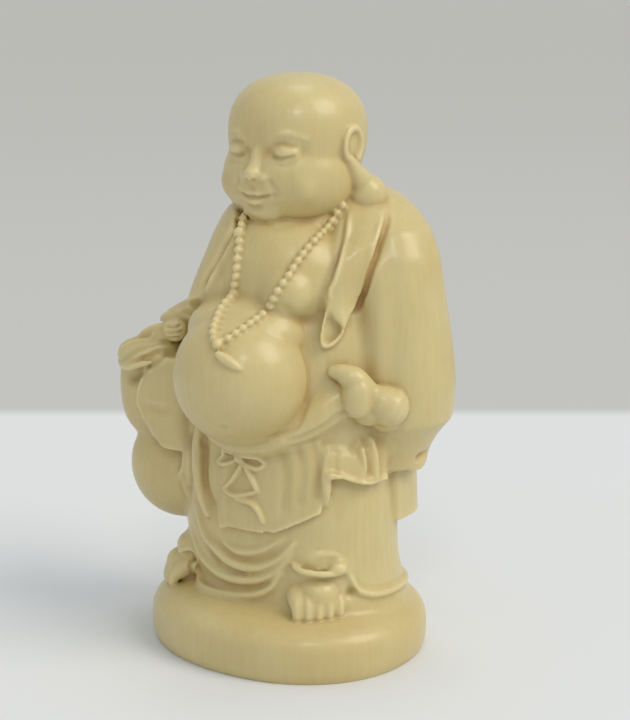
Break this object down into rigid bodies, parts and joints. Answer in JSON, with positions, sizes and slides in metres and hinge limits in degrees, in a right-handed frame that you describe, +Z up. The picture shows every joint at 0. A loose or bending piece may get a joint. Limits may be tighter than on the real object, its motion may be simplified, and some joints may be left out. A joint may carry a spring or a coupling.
{
  "type": "carved budai figure",
  "caption": "Small standing boxwood carving of a bald, full-bellied figure in an open robe, with a sack, a gourd and a string of beads, on a low pebble foot.",
  "frame": {"origin": "middle of the pebble foot's flat underside, which is also the middle of its plan outline", "axes": "+Z up, from the foot to the crown of the head; -Y the way the figure faces; +X the figure's own left, the side of the gourd"},
  "size_m": [0.06, 0.0459, 0.1],
  "materials": {
    "waxed_boxwood": "pale yellow boxwood, close-grained, waxed to a soft sheen"
  },
  "bodies": {
    "root": {"budai_figure": "waxed_boxwood"}
  },
  "joints": []
}
